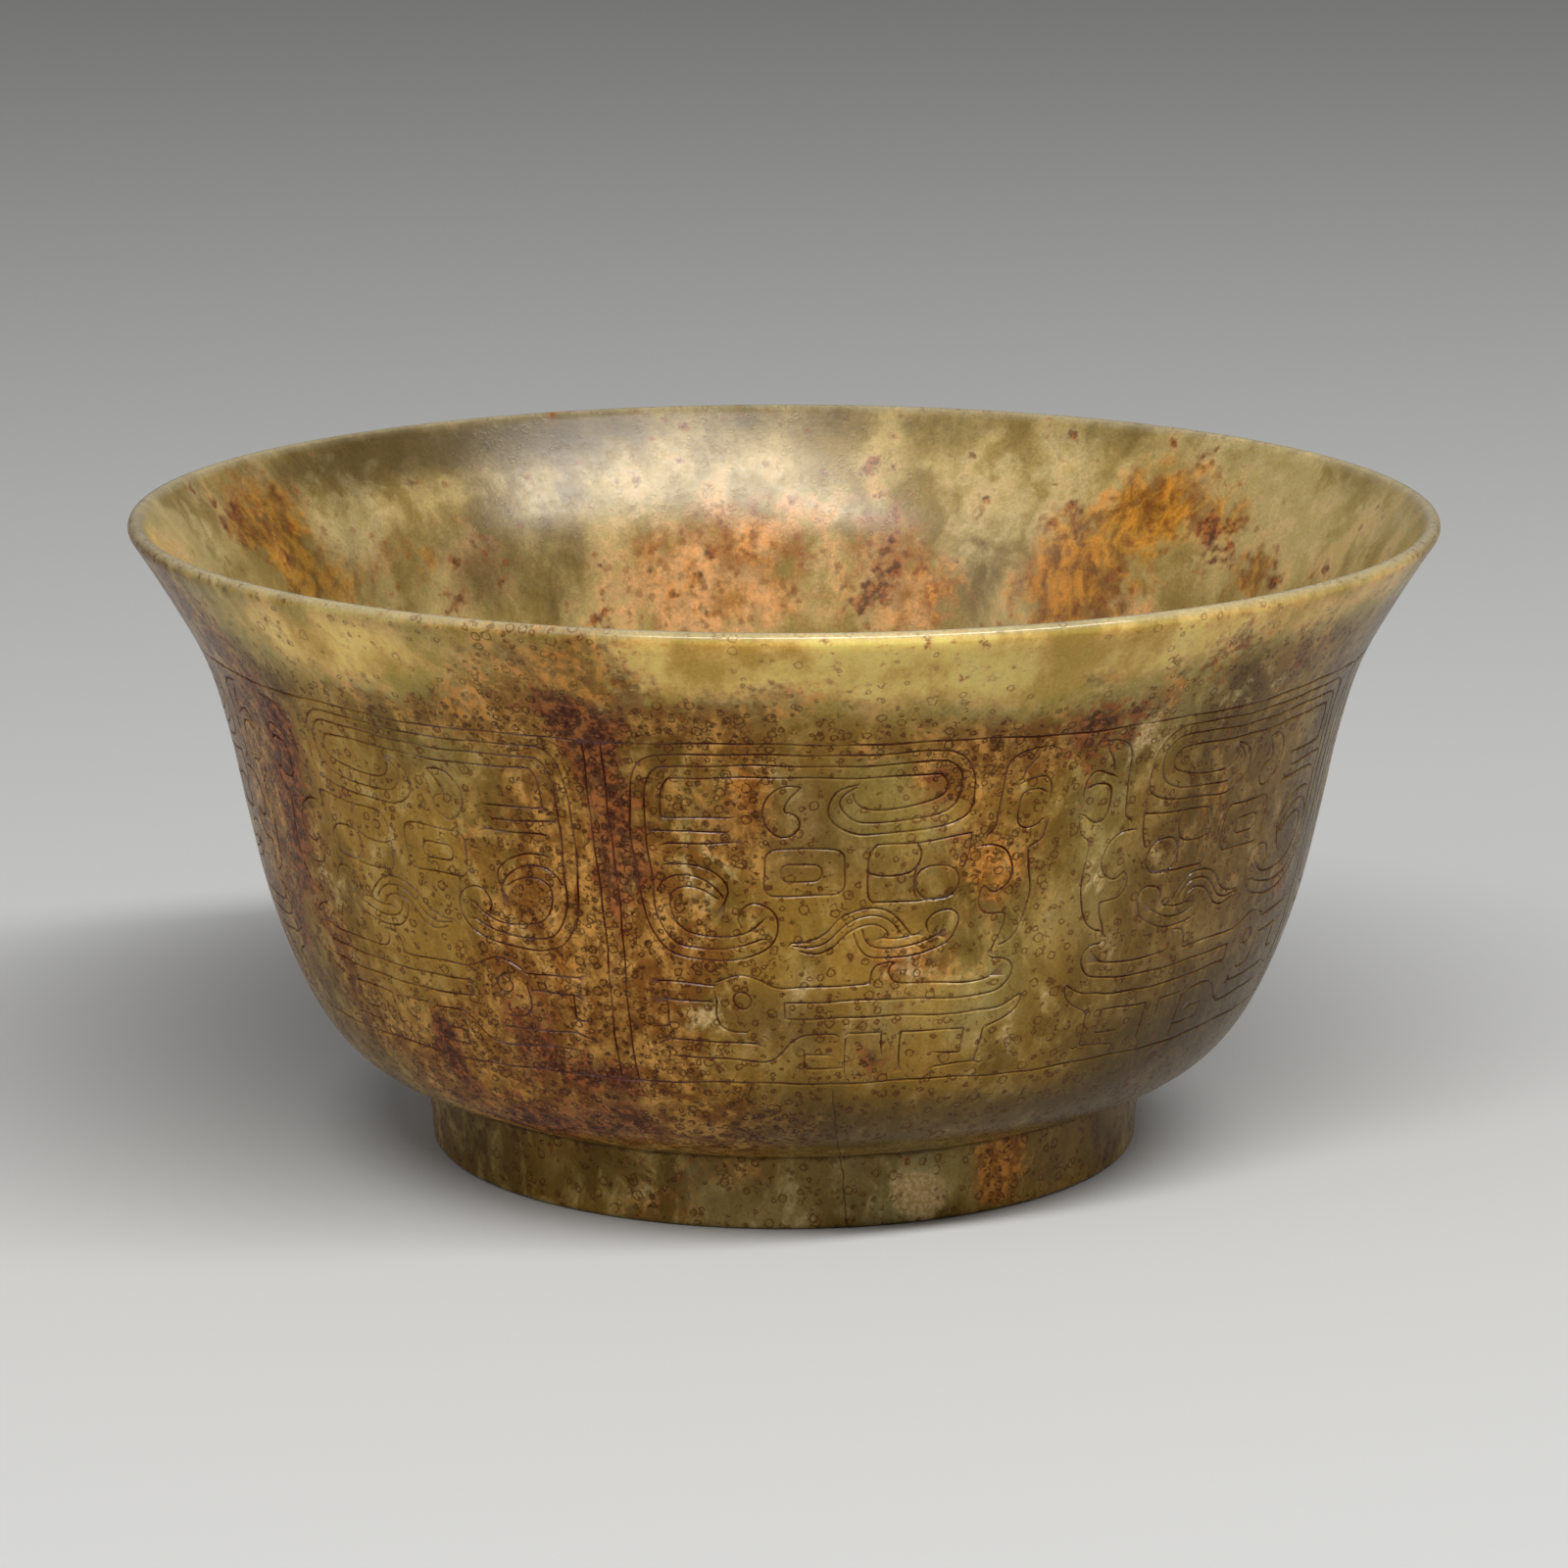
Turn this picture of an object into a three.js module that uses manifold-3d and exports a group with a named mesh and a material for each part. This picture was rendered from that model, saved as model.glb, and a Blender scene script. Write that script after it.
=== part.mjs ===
// Bowl carved from one piece of jade, with an engraved band and a ring foot.
// Millimetres, +Z up. The axis of the bowl is the Z axis and it stands on z = 0.

import * as THREE from 'three';
import { mergeVertices } from 'three/addons/utils/BufferGeometryUtils.js';
import Module from 'manifold-3d';

// Overall size
const rimRadius = 75;
const bowlHeight = 74.1;

// Foot ring
const footRadius = 41.1;
const footHeight = 8.6;
const footSpread = 0.6; // the foot grows wider by this much up to the wall
const footRingWidth = 3.8;
const footEdgeRound = 0.8;
const recessDepth = 5.5;
const recessCornerRound = 1.4;

// Thickness of the stone
const lipThickness = 1.8;
const baseThickness = 3.4; // where the wall starts on the foot
const floorThickness = 5.2;
const lipLean = THREE.MathUtils.degToRad(28); // how far the lip leans out from upright

// Outside of the wall from the foot to the lip. Each point is a share of the wall's
// height and a share of the way out from the foot to the lip.
const wallShares = [
  [0, 0], [0.05, 0.22], [0.12, 0.355], [0.22, 0.457], [0.35, 0.546],
  [0.5, 0.614], [0.65, 0.675], [0.78, 0.752], [0.9, 0.878], [1, 1],
];
const innerWallStart = 0.25; // the inside leaves the wall's curve here and turns into the floor

// Engraved band: a ring line below and above it, and pairs of upright lines between its panels
const lowerLineHeight = 20.9;
const upperLineHeight = 60.7;
const lineWidth = 0.5;
const lineDepth = 0.3;
const panelCount = 4;
const panelTurn = THREE.MathUtils.degToRad(-17.3); // first pair of lines, from the front to the right
const pairSpacing = 2;

// Smoothness
const turnSteps = 88;
const wallSteps = 18;
const innerSteps = 12;
const floorSteps = 6;
const lipSteps = 6;
const cornerSteps = 3;
const finestStep = 1e-6;

const stone = { color: 0x8a7642, roughness: 0.28, metalness: 0 };

const wasm = await Module();
wasm.setup();

// The points of a round corner, from one angle to another
function arc(centreX, centreY, radius, fromAngle, toAngle, steps) {
  return Array.from({ length: steps + 1 }, (_, i) => {
    const angle = THREE.MathUtils.lerp(fromAngle, toAngle, i / steps);
    return new THREE.Vector2(centreX + radius * Math.cos(angle), centreY + radius * Math.sin(angle));
  });
}

const quarter = Math.PI / 2;
const lipRound = lipThickness / 2;
const lipCentre = new THREE.Vector2(rimRadius - lipRound, bowlHeight - lipRound);
const wallFoot = new THREE.Vector2(footRadius + footSpread, footHeight);
const wallTop = new THREE.Vector2(Math.cos(lipLean), -Math.sin(lipLean))
  .multiplyScalar(lipRound).add(lipCentre);
const wall = new THREE.SplineCurve(wallShares.map(([up, out]) => new THREE.Vector2(
  THREE.MathUtils.lerp(wallFoot.x, wallTop.x, out),
  THREE.MathUtils.lerp(wallFoot.y, wallTop.y, up),
)));

// A point of the wall, moved into the stone by a depth
function insideWall(t, depth) {
  const along = wall.getTangent(t);
  return wall.getPoint(t).add(new THREE.Vector2(-along.y, along.x).multiplyScalar(depth));
}

// The place on the wall's curve that lies at a height, found by halving
function placeAtHeight(height, low = 0, high = 1) {
  const middle = (low + high) / 2;
  if (high - low < finestStep) return middle;
  return wall.getPoint(middle).y < height
    ? placeAtHeight(height, middle, high) : placeAtHeight(height, low, middle);
}

// Outside of the wall with the two ring lines cut into it
function outerWall() {
  const half = lineWidth / 2 / wall.getLength();
  const lines = [lowerLineHeight, upperLineHeight].map((height) => placeAtHeight(height));
  const plain = Array.from({ length: wallSteps + 1 }, (_, i) => i / wallSteps)
    .filter((t) => lines.every((line) => Math.abs(t - line) > 2 * half))
    .map((t) => ({ t, depth: 0 }));
  const cuts = lines.flatMap((t) => [
    { t: t - half, depth: 0 }, { t, depth: lineDepth }, { t: t + half, depth: 0 },
  ]);
  return [...plain, ...cuts].sort((a, b) => a.t - b.t).map(({ t, depth }) => insideWall(t, depth));
}

// Inside of the wall, from the lip down, growing thicker towards the foot
function innerWall() {
  return Array.from({ length: innerSteps + 1 }, (_, i) => {
    const t = THREE.MathUtils.lerp(1, innerWallStart, i / innerSteps);
    return insideWall(t, THREE.MathUtils.lerp(baseThickness, lipThickness, t));
  });
}

// Floor of the bowl, from the inside of the wall to the axis
function floor(start) {
  const level = recessDepth + floorThickness;
  const along = wall.getTangent(innerWallStart);
  const bend = new THREE.Vector2(start.x - (start.y - level) * along.x / along.y, level);
  const curve = new THREE.QuadraticBezierCurve(start, bend, new THREE.Vector2(0, level));
  return curve.getPoints(floorSteps).slice(1);
}

// Outline of half a cut through the bowl, from the middle of the underside round to the floor
function outline() {
  const recessRadius = footRadius - footRingWidth;
  const inside = innerWall();
  return [
    new THREE.Vector2(0, recessDepth),
    ...arc(recessRadius - recessCornerRound, recessDepth - recessCornerRound, recessCornerRound,
      quarter, 0, cornerSteps),
    ...arc(recessRadius + footEdgeRound, footEdgeRound, footEdgeRound,
      2 * quarter, 3 * quarter, cornerSteps),
    ...arc(footRadius - footEdgeRound, footEdgeRound, footEdgeRound, -quarter, 0, cornerSteps),
    ...outerWall(),
    ...arc(lipCentre.x, lipCentre.y, lipRound, -lipLean, 2 * quarter - lipLean, lipSteps).slice(1, -1),
    ...inside,
    ...floor(inside.at(-1)),
  ];
}

// A closed solid from a geometry
function solid(geometry) {
  geometry.deleteAttribute('normal');
  geometry.deleteAttribute('uv');
  const merged = mergeVertices(geometry);
  return new wasm.Manifold(new wasm.Mesh({
    numProp: 3,
    vertProperties: Float32Array.from(merged.attributes.position.array),
    triVerts: Uint32Array.from(merged.index.array),
  }));
}

// One upright line of the band: a thin slot that follows the wall between the ring lines
function uprightLine(turn, sideways) {
  const low = placeAtHeight(lowerLineHeight);
  const high = placeAtHeight(upperLineHeight);
  const places = Array.from({ length: wallSteps + 1 }, (_, i) => (
    THREE.MathUtils.lerp(low, high, i / wallSteps)));
  const shape = new THREE.Shape([
    ...places.map((t) => insideWall(t, lineDepth)),
    ...places.reverse().map((t) => insideWall(t, -lineDepth)),
  ]);
  const slot = new THREE.ExtrudeGeometry(shape, { depth: lineWidth, bevelEnabled: false });
  slot.translate(0, 0, sideways - lineWidth / 2);
  slot.rotateX(quarter);
  slot.rotateZ(turn - quarter);
  return solid(slot);
}

// The whole bowl
function bowl() {
  const turned = new THREE.LatheGeometry(outline(), turnSteps);
  turned.rotateX(quarter);
  const lines = Array.from({ length: panelCount }, (_, i) => panelTurn + i * 2 * Math.PI / panelCount)
    .flatMap((turn) => [uprightLine(turn, -pairSpacing / 2), uprightLine(turn, pairSpacing / 2)]);
  const carved = solid(turned).subtract(wasm.Manifold.union(lines)).getMesh();
  const geometry = new THREE.BufferGeometry();
  geometry.setAttribute('position', new THREE.BufferAttribute(carved.vertProperties, carved.numProp));
  geometry.setIndex(new THREE.BufferAttribute(carved.triVerts, 1));
  geometry.computeVertexNormals();
  const mesh = new THREE.Mesh(geometry, new THREE.MeshStandardMaterial(stone));
  mesh.name = 'bowl';
  return mesh;
}

const part = new THREE.Group();
part.name = 'jade_bowl';
part.add(bowl());

export default part;
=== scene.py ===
import math

import bmesh
import bpy
import numpy as np
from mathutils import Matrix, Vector
from mathutils.geometry import delaunay_2d_cdt


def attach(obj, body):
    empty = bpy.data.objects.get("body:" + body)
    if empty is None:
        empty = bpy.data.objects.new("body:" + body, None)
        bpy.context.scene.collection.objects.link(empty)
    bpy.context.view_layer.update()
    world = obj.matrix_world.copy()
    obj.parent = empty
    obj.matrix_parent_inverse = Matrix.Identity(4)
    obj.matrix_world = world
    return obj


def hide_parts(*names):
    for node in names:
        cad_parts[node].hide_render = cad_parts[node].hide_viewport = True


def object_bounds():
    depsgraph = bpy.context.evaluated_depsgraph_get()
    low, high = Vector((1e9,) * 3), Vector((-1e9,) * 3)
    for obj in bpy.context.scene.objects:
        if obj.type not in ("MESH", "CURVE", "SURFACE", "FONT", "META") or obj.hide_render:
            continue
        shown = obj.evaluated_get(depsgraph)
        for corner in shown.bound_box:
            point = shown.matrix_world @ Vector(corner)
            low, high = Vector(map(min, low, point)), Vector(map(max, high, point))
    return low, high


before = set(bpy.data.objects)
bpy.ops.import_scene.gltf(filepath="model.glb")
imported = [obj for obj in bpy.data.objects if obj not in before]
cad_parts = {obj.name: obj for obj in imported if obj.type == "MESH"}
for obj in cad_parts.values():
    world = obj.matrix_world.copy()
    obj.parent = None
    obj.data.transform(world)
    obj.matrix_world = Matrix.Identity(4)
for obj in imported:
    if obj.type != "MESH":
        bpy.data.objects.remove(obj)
cad_low, cad_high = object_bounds()

MM = 0.001

# The camera, in metres, as the picture was taken. Its lens and sensor are in millimetres
CAMERA_DISTANCE = 0.6904
CAMERA_RISE = math.radians(13.27)
CAMERA_TARGET = Vector((0.0, 0.0, 0.035))
CAMERA_AIM = Vector((0.0, 0.0, 0.04145))
CAMERA_LENS = 136.3
CAMERA_SENSOR = 36.0

# The studio, in metres and watts
FLOOR_HALF_SIZE = 4
FLOOR_COLOUR = (0.45, 0.45, 0.44, 1)
FLOOR_ROUGHNESS = 0.8
STUDIO_LIGHT = 0.18
LIGHTS_AIM = Vector((0, 0, 0.05))
KEY_PLACE, KEY_SIZE, KEY_POWER = Vector((0.26, -0.66, 1.1)), (1.7, 0.17), 28.0
FILL_PLACE, FILL_SIZE, FILL_POWER = Vector((-1.0, -0.75, 0.75)), (0.9, 0.9), 4.2

# The bowl, in millimetres
HEIGHT = (cad_high.z - cad_low.z) / MM
RIM_RADIUS = min(cad_high.x, cad_high.y) / MM
FOOT_RADIUS = 41.1
FOOT_HEIGHT = 8.6
FOOT_SPREAD = 0.6
FOOT_RING_WIDTH = 3.8
FOOT_EDGE_ROUND = 0.8
RECESS_DEPTH = 5.5
RECESS_ROUND = 1.4
LIP_THICKNESS = 1.8
BASE_THICKNESS = 3.4
FLOOR_THICKNESS = 5.2
LIP_LEAN = math.radians(28)
WALL_SHARES = np.array([
    (0, 0), (0.22, 0.05), (0.355, 0.12), (0.457, 0.22), (0.546, 0.35),
    (0.614, 0.5), (0.675, 0.65), (0.752, 0.78), (0.878, 0.9), (1, 1),
])
INNER_WALL_START = 0.25
SPAN_STEPS = 60  # steps of the curve between two points of the wall

# Rows of points above and below the engraved band
OUTSIDE_ROWS = 10
LIP_ROWS = 10
INSIDE_ROWS = 44
FLOOR_ROWS = 25
UNDER_BAND_ROWS = 11
FOOT_ROWS = 3
EDGE_ROWS = 5
RECESS_ROWS = 10

# The engraved band
BAND_RADIUS = 62.5  # distances round the band are measured at this radius
BAND_LOW, BAND_HIGH = 18.6, 62.8
RING_LOW, RING_HIGH = 20.9, 60.7
PANELS = 4
FIRST_DIVIDER = math.radians(-17.3)
HALF_PANEL = BAND_RADIUS * math.pi / PANELS
GROOVE_HALF_WIDTH = 0.16
GROOVE_DEPTH = 0.17
GROOVE_SIDES = (-0.3, -GROOVE_HALF_WIDTH, GROOVE_HALF_WIDTH, 0.32)  # rows of points beside a line
STROKE_STEP = 0.5  # between the points of a line
CURVE_STEPS = 8
CORNER_STEPS = 6
ON_LINE = 0.01  # a point this near to a line is on it
TOUCHING, WELD = 0.0001, 0.002  # points this near become one, in a panel and in the whole bowl
MEASURED_AT_ONCE = 500  # points, to save memory

# Points round the edge of half a panel
HALF_PANEL_COLUMNS = 24
BAND_ROWS = 37
RING_CLEARANCE = 0.9

# Points between the lines, in rows that make a triangular grid
FIELD_STEP = 1.35
FIELD_ROW_STEP = 0.87 * FIELD_STEP
FIELD_HEIGHTS = (BAND_LOW + 0.9, BAND_HIGH - 0.6)
FIELD_PLACES = (0.9, HALF_PANEL - 1.1)
FIELD_CLEARANCE = 0.75
BORDER_CLEARANCE = 0.1
SIDE_TOLERANCE = 0.03  # a point beside one line and nearer to another by more than this is left out

# How the hand strayed and pressed: size of each wave, turns round the bowl, lean and start
STRAYED_SIDEWAYS = [(0.22, 7, 0.11, 0.6), (0.16, 13, -0.23, 2.1), (0.05, 61, 0.9, 0)]
STRAYED_UPWARD = [(0.2, 5, 0, 1.3), (0.14, 17, 0.15, 0), (0.05, 53, -0.8, 0.5)]
PRESSED = [(0.22, 23, 0.37, 0), (0.15, 47, -0.61, 1)]
BAND_EDGE_FADE = 2.0

# Dirt in the grooves: how much, how far the depth of the line changes it, and the most of it
DIRT, DIRT_BY_DEPTH, MOST_DIRT = 1.5, 0.45, 1.2

# Lines of half a mask, read off the picture: distance from the divider and height of each point.
# A semicolon ends a line
CURVES = """
26,56 24.5,55.5 23.5,54.3 23.2,52.8 23.8,51.5 25.2,50.6 27,50.2 30.4,50.4 33.4,50.7 35.8,51.1 37.4,51.8
38.2,52.8 38.4,54.3 38.3,56.1 37.6,57.8 36.3,59.1 34.1,59.6 26.5,59.5 18.6,59.4 10.7,59.4 6.8,59.4
5.2,59 4.2,57.8 3.7,55.8 3.3,52.8 3.1,49.3 3.3,45.7 3.6,42.7 4.2,39.7 5.2,37.9 6.4,36.7 8.3,36 10.4,35.8
13.2,35.9 15.6,36.4 17.4,37.3 18.4,38.7 18.6,40.4 18.1,41.5 17.1,42.2 16,42.4 15.1,42.1 14.5,41.3
14.3,40.5 14.7,39.7;
26,55.7 24.9,54.9 24.4,53.8 25,52.6 26.3,51.7 28.4,51.6 31.4,51.8 34.3,52.2 36.1,53.1 36.9,54.6 37,56.3
36.3,57.6 34.8,58.4 30.4,58.3 22.5,58.1 14.7,58.1 7.8,58 6.3,57.8 5.5,56.8 5,54.8 4.7,51.8 4.7,48.8
4.9,45.2 5,42.1 5.5,40.2 6.3,38.7 7.6,37.6 9.2,37.2 11.7,37.1 13.7,37.4 15.2,37.8 16.7,38.4;
25.7,55 26,54 27,53.2 28.9,53.1 31.9,53.4 34.3,54 35.2,54.6 35.5,55.6 35.1,56.4 34.1,56.9 26.5,56.8
18.6,56.7 8.3,56.7 7.3,56.5 6.7,55.3 6.5,53.8 6.4,52.2;
6.9,46.9 9.2,46.9 11.2,46.2 12.7,45.1 13.2,43.9 12.7,42.4;
5.3,43.6 6,44.8 7.5,45.6 9.2,45.6 10.9,44.9 12.1,43.9 12.7,43.1;
12,43.1 10.6,43.9 9,44.3 7.8,44.1 6.9,43.4 6.7,42.2 7,40.9 7.7,39.8 9,39 10.9,38.6 13.3,38.6 15.3,39.2
16.6,40.2;
20.3,55.5 18.9,55.7 17.7,55.1 16.8,54 16.5,52.6 16.8,51.4 17.7,50.3 18.8,49.8 19.9,50.2 20.5,51.1
20.3,52 19.6,52.5 18.8,52.6 18.9,53.4 19.4,54.4 20.3,55.5;
27.7,45.7 27.7,47.4 28.3,48.7 29.2,49 32.7,49.2 38.3,49.8;
27.7,45.7 27.7,43.9 27.9,42.6 28.7,42.3 32.4,42.4 34.8,42.7 36.6,42.9;
27.8,45.7 28.9,45.4 30.9,45.5 32.2,45.9 32.8,46.7;
32.6,49.1 33,48.2 33,47.2 32.6,46 32.4,44.7 32.5,43.3;
38.3,49.8 38.2,47.8 37.7,46.2;
39.8,48.3 41,48.2 42.4,47.4 43.1,46.2 43.4,45.1 43.1,43.9 42.4,43.2 41.4,42.9 40.5,43.5 40.1,43.6
39.8,42.8 39.8,41.7 40.4,40.8 41.2,40.5 43.2,40.3;
43.2,40.3 43.1,38.9 42.4,37.2 42.1,36.3;
45.1,47.6 45.4,45.5 45.8,43.2 45.8,41.7 45.4,39.7 44.8,38.2 44,37.3 43,36.8;
45.2,59.3 44.2,59.2 42.7,58.6 41.8,57.3 41.4,54.8 41.1,51.8 40.9,50.2 40,49.4;
44.9,58.1 44,57 43.6,55.8;
43.7,55.2 45.7,55.9 46.6,55.4 46.9,54.5 47,53.3;
46.4,54 45.6,54.4 44.2,54.2 43.5,53.4 43.3,51.8 43.4,50.6 44,49.9 44.9,49.8 45.8,50.2 46.3,50.7;
47,50 46.5,48.5 45.6,47.9 45.1,47.6;
19.9,37.8 21.8,38 23.5,38.9 25,40.5 26.5,41.3 28.1,41.6 29.7,41.3 31,40.4 32.1,39.1 32.6,38.4;
20.2,37.5 22,37.3 23.5,37.8 24.8,39 26.3,40.2 28,40.7 29.6,40.4 30.7,39.6 31.3,38.8;
20.8,36.9 22.5,36.5 24,37 25.2,38.2 26.4,39.1 27.7,39.6 28.7,39.6 29.7,39.1 30,38.5;
26.4,38.6 26.9,37.2 27.9,36.1 29.4,35.8 32.4,35.9 34.8,36.6 36.8,37.7 37.6,39.2 37.8,40.3 37.2,41.1
36.2,41.3 34.8,40.9 34.1,40 34.2,39.3;
27.3,39 27.7,37.8 28.7,37.1 30.9,36.9 33.4,37.4 35.3,38.3;
29.4,38.2 31.2,38.1 33.2,38.5;
11.8,33.3 13.2,33.9 14.7,34.1 16.3,33.6 18.5,32.7 21.5,32.7 28.5,32.7;
28.5,32.8 28.6,34.2 29.2,34.9 30.4,35.2 31.1,35.1;
31.1,35.1 30.6,34.6 30.7,33.7 31.6,32.9 34.3,32.8 38.8,32.7 41.2,32.9 42.2,33.2;
18.9,30.9 28.4,30.9 38.3,30.9 42.7,31.3 44.2,32.3 44.8,33.6 44.4,34.6 43.4,35.2 42.4,35.3;
18.9,29 28.4,28.9 38.3,28.9 41.2,29.2 43.5,29.4 45,30.1 46.1,30.8;
46.3,30.7 46.1,29.6 45.2,28.5 44,27.8 42.6,27.2;
11.4,30.9 11.2,29.2 11.7,27.9 12.9,27.3 14.4,27.2;
4.4,25.8 5.8,26.2 8.3,26 11.7,25.9 15.2,25.8;
6.3,24.1 10.7,23.9 13.7,23.7 16.3,23.6 17.6,24 18.8,25 19.9,26.3 21.4,27 25,27;
42.2,26.9 42,24.7 41.8,22.9
"""
STRAIGHTS = """
1,20.9 1,60.7; 6.5,52.2 13.2,52.2; 5.3,50.7 13,50.6; 6.8,49.2 13.9,49.4; 5,33.1 11.2,32.8; 18.9,30.9
18.9,29; 5.4,30.9 10.7,30.8; 5.7,30.9 5.7,27.9 4.8,27.8; 23.7,24.6 21.4,24.6 21.5,22.9 26.3,22.9;
26.3,26.5 26.3,22.4; 26.6,27.1 30.5,26.9 30.5,25.2; 32.7,22.7 32.7,26.9 39.9,27 39.9,24.1 37.3,24.1;
37,22.4 39.3,22.7 41.8,22.8 42.6,22.6
"""
# Closed shapes: middle, half width, half height, corner radius
ROUNDED = [
    ((21.2, 45.8), 4.15, 2.65, 1.2),
    ((20.9, 45.7), 2.1, 0.95, 0.75),
    ((34.9, 44.5), 2.35, 1.9, 1.85),
    ((14.3, 31.1), 1.0, 1.0, 0.98),
]


def read_lines(text):
    return [np.array([[float(v) for v in pair.split(",")] for pair in line.split()])
            for line in text.split(";")]


def smooth_curve(points, steps):
    """A smooth curve through the points, with so many steps from each to the next."""
    padded = np.vstack([points[:1], points, points[-1:]])
    w = np.linspace(0, 1, steps, endpoint=False)[:, None]
    spans = []
    for before, here, there, after in zip(padded, padded[1:], padded[2:], padded[3:]):
        leave, arrive = (there - before) / 2, (after - here) / 2
        spans.append((2 * here - 2 * there + leave + arrive) * w ** 3
                     + (3 * there - 3 * here - 2 * leave - arrive) * w ** 2 + leave * w + here)
    return np.vstack(spans + [points[-1:]])


def arc(centre, radius, start, end, steps):
    angles = np.linspace(start, end, steps + 1)
    return np.array(centre) + radius * np.column_stack([np.cos(angles), np.sin(angles)])


def even(points, step):
    """The same line with its points evenly spaced."""
    along = np.r_[0, np.cumsum(np.hypot(*np.diff(points, axis=0).T))]
    count = max(2, round(along[-1] / step) + 1)
    places = np.linspace(0, along[-1], count)
    return np.column_stack([np.interp(places, along, points[:, i]) for i in (0, 1)])


# The wall's outside from the foot to the lip, as radius and height
lip_round = LIP_THICKNESS / 2
lip_centre = np.array([RIM_RADIUS - lip_round, HEIGHT - lip_round])
wall_foot = np.array([FOOT_RADIUS + FOOT_SPREAD, FOOT_HEIGHT])
wall_top = lip_centre + lip_round * np.array([math.cos(LIP_LEAN), -math.sin(LIP_LEAN)])
wall = smooth_curve(wall_foot + WALL_SHARES * (wall_top - wall_foot), SPAN_STEPS)
wall_along = np.gradient(wall, axis=0)
wall_along /= np.linalg.norm(wall_along, axis=1)[:, None]
wall_inward = np.column_stack([-wall_along[:, 1], wall_along[:, 0]])


def wall_at(height, depth=0.0):
    """Points of the wall at these heights, moved into the stone by a depth."""
    radius, inward_r, inward_z = (np.interp(height, wall[:, 1], column)
                                  for column in (wall[:, 0], *wall_inward.T))
    return radius + inward_r * depth, height + inward_z * depth


def profile_up():
    """From the top of the band over the lip and down the inside to the middle of the floor."""
    outside = np.column_stack(wall_at(np.linspace(BAND_HIGH, wall_top[1], OUTSIDE_ROWS)))
    lip = arc(lip_centre, lip_round, -LIP_LEAN, math.pi - LIP_LEAN, LIP_ROWS)[1:-1]
    last = len(wall) - 1
    places = np.linspace(last, INNER_WALL_START * last, INSIDE_ROWS).astype(int)
    share = places / last
    thickness = BASE_THICKNESS + (LIP_THICKNESS - BASE_THICKNESS) * share
    inside = wall[places] + wall_inward[places] * thickness[:, None]
    level = RECESS_DEPTH + FLOOR_THICKNESS
    along = wall_along[places[-1]]
    bend = np.array([inside[-1, 0] - (inside[-1, 1] - level) * along[0] / along[1], level])
    t = np.linspace(0, 1, FLOOR_ROWS + 2)[1:-1, None]
    floor = (1 - t) ** 2 * inside[-1] + 2 * t * (1 - t) * bend + t ** 2 * np.array([0.0, level])
    return np.vstack([outside, lip, inside, floor]), np.array([0.0, level])


def profile_down():
    """From the bottom of the band down the wall and foot to the middle of the underside."""
    outside = np.column_stack(wall_at(np.linspace(BAND_LOW, wall_foot[1], UNDER_BAND_ROWS)))
    recess_radius = FOOT_RADIUS - FOOT_RING_WIDTH
    foot = np.linspace(wall_foot, (FOOT_RADIUS, FOOT_EDGE_ROUND), FOOT_ROWS + 2)[1:-1]
    outer_edge = arc((FOOT_RADIUS - FOOT_EDGE_ROUND, FOOT_EDGE_ROUND), FOOT_EDGE_ROUND,
                     0, -math.pi / 2, EDGE_ROWS)
    inner_edge = arc((recess_radius + FOOT_EDGE_ROUND, FOOT_EDGE_ROUND), FOOT_EDGE_ROUND,
                     -math.pi / 2, -math.pi, EDGE_ROWS)
    corner = arc((recess_radius - RECESS_ROUND, RECESS_DEPTH - RECESS_ROUND), RECESS_ROUND,
                 0, math.pi / 2, EDGE_ROWS)
    roof_edge, tip = (recess_radius - RECESS_ROUND, RECESS_DEPTH), np.array([0.0, RECESS_DEPTH])
    roof = np.linspace(roof_edge, tip, RECESS_ROWS + 2)[1:-1]
    return np.vstack([outside, foot, outer_edge, inner_edge, corner, roof]), tip


def mask_lines():
    """Every line of half a panel, evenly stepped, and the two ring lines."""
    lines = [even(smooth_curve(points, CURVE_STEPS), STROKE_STEP) for points in read_lines(CURVES)]
    for points in read_lines(STRAIGHTS):
        lines.append(np.vstack([even(points[i:i + 2], STROKE_STEP)[(i > 0):]
                                for i in range(len(points) - 1)]))
    for middle, wide, high, corner in ROUNDED:
        ends = [((1, -1), -0.5), ((1, 1), 0), ((-1, 1), 0.5), ((-1, -1), 1)]
        turns = [arc((middle[0] + sx * (wide - corner), middle[1] + sy * (high - corner)), corner,
                     start * math.pi, (start + 0.5) * math.pi, CORNER_STEPS) for (sx, sy), start in ends]
        lines.append(even(np.vstack(turns + [turns[0][:1]]), STROKE_STEP))
    for height in (RING_LOW, RING_HIGH):
        lines.append(np.column_stack([np.linspace(0, HALF_PANEL, 2 * HALF_PANEL_COLUMNS + 1),
                                      np.full(2 * HALF_PANEL_COLUMNS + 1, height)]))
    return lines


def distance_to(points, lines):
    """Distance of each point to the nearest line."""
    starts = np.vstack([line[:-1] for line in lines])
    ends = np.vstack([line[1:] for line in lines])
    span = ends - starts
    length2 = (span ** 2).sum(1)
    nearest = np.full(len(points), np.inf)
    for i in range(0, len(points), MEASURED_AT_ONCE):
        away = points[i:i + MEASURED_AT_ONCE, None] - starts
        t = np.clip((away * span).sum(2) / length2, 0, 1)
        gap = away - t[..., None] * span
        nearest[i:i + MEASURED_AT_ONCE] = np.sqrt((gap ** 2).sum(2).min(1))
    return nearest


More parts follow.
